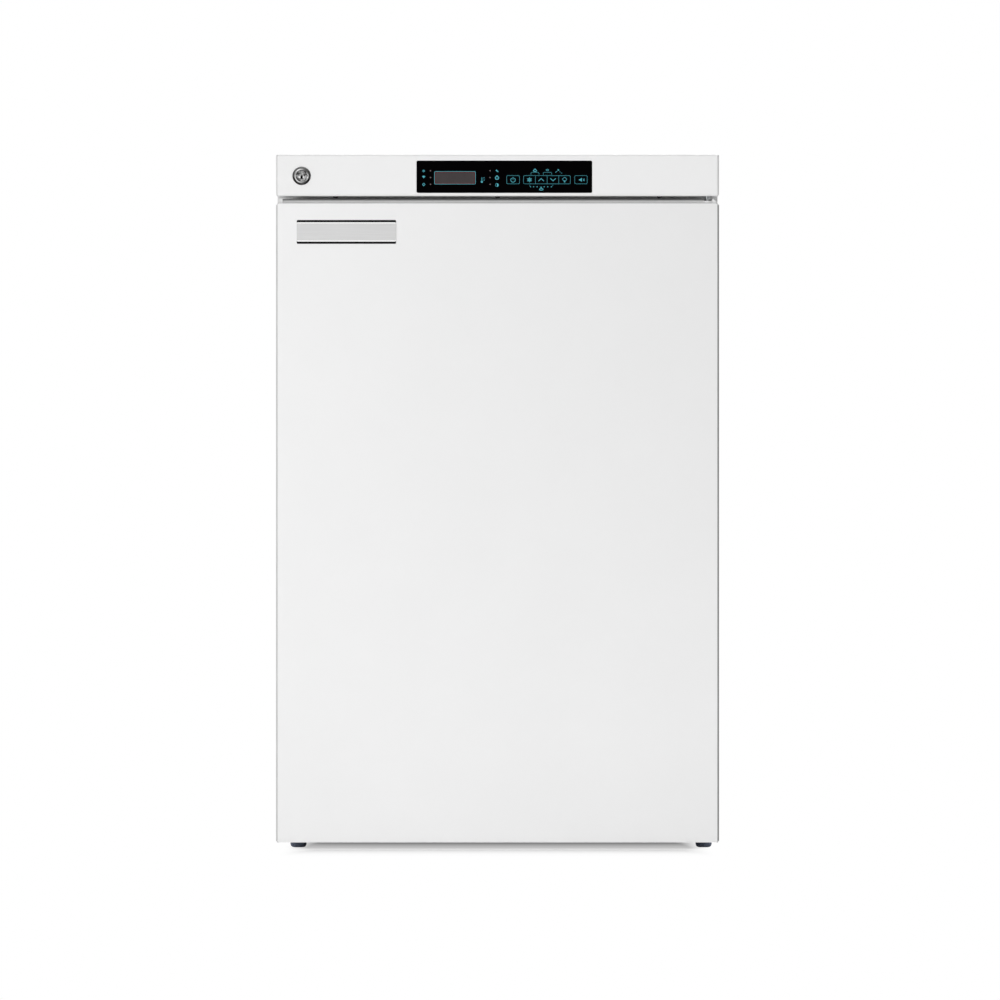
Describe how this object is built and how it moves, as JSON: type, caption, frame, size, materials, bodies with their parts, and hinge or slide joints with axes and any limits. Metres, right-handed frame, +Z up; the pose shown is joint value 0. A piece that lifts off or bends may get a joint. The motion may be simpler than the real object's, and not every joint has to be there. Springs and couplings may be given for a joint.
{
  "type": "under-counter low temperature freezer",
  "caption": "Under-counter laboratory freezer: white cabinet with a flat hinged door, a key lock and touch panel in the top housing, inner drawers, feet in front, rollers and condenser behind.",
  "frame": {"origin": "middle of the footprint, at the level the feet stand on", "axes": "the door faces -Y, +X is to the right seen from the front, +Z is up"},
  "size_m": [0.54, 0.56, 0.846],
  "materials": {
    "white_enamel": "smooth satin",
    "white_plastic": "smooth",
    "grey_plastic": "fine grain",
    "liner_plastic": "vacuum formed, faint grain",
    "foam": "rigid foam",
    "black_glass": "printed, polished",
    "brushed_plate": "brushed",
    "chrome": "polished",
    "zinc_steel": "zinc plated",
    "black_paint": "semi-gloss",
    "copper": "drawn",
    "evaporator_aluminium": "mill",
    "foot_rubber": "matt",
    "mount_rubber": "matt",
    "gasket_rubber": "smooth",
    "black_plastic": "fine grain",
    "white_nylon": "smooth",
    "board": "coated laminate",
    "drawer_plastic": "smooth"
  },
  "bodies": {
    "cabinet": {"cabinet_wrap": "white_enamel", "base_pan": "zinc_steel", "bay_panel": "zinc_steel", "back_panel": "zinc_steel", "inner_liner": "liner_plastic", "insulation_foam": "foam", "evaporator_shelf_lower": "evaporator_aluminium", "evaporator_shelf_middle": "evaporator_aluminium", "control_fascia": "white_plastic", "control_glass": "black_glass", "control_board": "board", "top_cover": "white_enamel", "power_board": "board", "lock_barrel": "chrome", "lock_nut": "zinc_steel", "hinge_top": "zinc_steel", "hinge_bottom": "zinc_steel", "hinge_screws": "zinc_steel", "foot_nuts": "zinc_steel", "roller_brackets": "zinc_steel", "compressor": "black_paint", "compressor_mounts": "mount_rubber", "compressor_bolts": "zinc_steel", "relay_box": "black_plastic", "condenser": "black_paint", "condenser_clips": "black_plastic", "filter_drier": "copper", "discharge_pipe": "copper", "suction_pipe": "copper", "power_inlet": "black_plastic", "rear_grille": "zinc_steel", "wall_spacers": "black_plastic", "port_sleeve": "white_plastic", "port_stopper": "gasket_rubber", "air_probe": "white_plastic", "shelf_clips": "white_nylon"},
    "door": {"door_skin": "white_enamel", "door_cap_top": "grey_plastic", "door_cap_bottom": "grey_plastic", "door_bushes": "white_nylon", "door_liner": "liner_plastic", "door_foam": "foam", "door_gasket": "gasket_rubber", "badge_plate": "brushed_plate", "lock_keeper": "zinc_steel"},
    "lock": {"lock_plug": "chrome", "lock_cam": "zinc_steel"},
    "foot_left": {"foot_pad_left": "foot_rubber", "foot_stud_left": "zinc_steel"},
    "foot_right": {"foot_pad_right": "foot_rubber", "foot_stud_right": "zinc_steel"},
    "roller_left": {"roller_left": "black_plastic"},
    "roller_right": {"roller_right": "black_plastic"},
    "drawer_low": {"drawer_tub_low": "drawer_plastic", "drawer_front_low": "drawer_plastic"},
    "drawer_middle": {"drawer_tub_middle": "drawer_plastic", "drawer_front_middle": "drawer_plastic"},
    "drawer_top": {"drawer_tub_top": "drawer_plastic", "drawer_front_top": "drawer_plastic"}
  },
  "joints": [
    {"name": "door_swing", "type": "hinge", "parent": "cabinet", "child": "door", "pos_m": [0.256, -0.252, 0.4], "axis": [0, 0, 1], "range_deg": [0, 135]},
    {"name": "lock_turn", "type": "hinge", "parent": "cabinet", "child": "lock", "pos_m": [-0.2389, -0.276, 0.8203], "axis": [0, 1, 0], "range_deg": [0, 90]},
    {"name": "foot_left_turn", "type": "hinge", "parent": "cabinet", "child": "foot_left", "pos_m": [-0.2437, -0.189, 0.01], "axis": [0, 0, 1], "continuous": true},
    {"name": "foot_right_turn", "type": "hinge", "parent": "cabinet", "child": "foot_right", "pos_m": [0.2523, -0.189, 0.01], "axis": [0, 0, 1], "continuous": true},
    {"name": "roller_left_spin", "type": "hinge", "parent": "cabinet", "child": "roller_left", "pos_m": [-0.225, 0.191, 0.018], "axis": [1, 0, 0], "continuous": true},
    {"name": "roller_right_spin", "type": "hinge", "parent": "cabinet", "child": "roller_right", "pos_m": [0.225, 0.191, 0.018], "axis": [1, 0, 0], "continuous": true},
    {"name": "drawer_low_slide", "type": "slide", "parent": "cabinet", "child": "drawer_low", "axis": [0, -1, 0], "range_m": [0, 0.155]},
    {"name": "drawer_middle_slide", "type": "slide", "parent": "cabinet", "child": "drawer_middle", "axis": [0, -1, 0], "range_m": [0, 0.155]},
    {"name": "drawer_top_slide", "type": "slide", "parent": "cabinet", "child": "drawer_top", "axis": [0, -1, 0], "range_m": [0, 0.155]}
  ],
  "couplings": [
    {"joint": "drawer_low_slide", "follows": "door_swing", "m_per_rad": 0.065},
    {"joint": "drawer_middle_slide", "follows": "door_swing", "m_per_rad": 0.065},
    {"joint": "drawer_top_slide", "follows": "door_swing", "m_per_rad": 0.065}
  ]
}
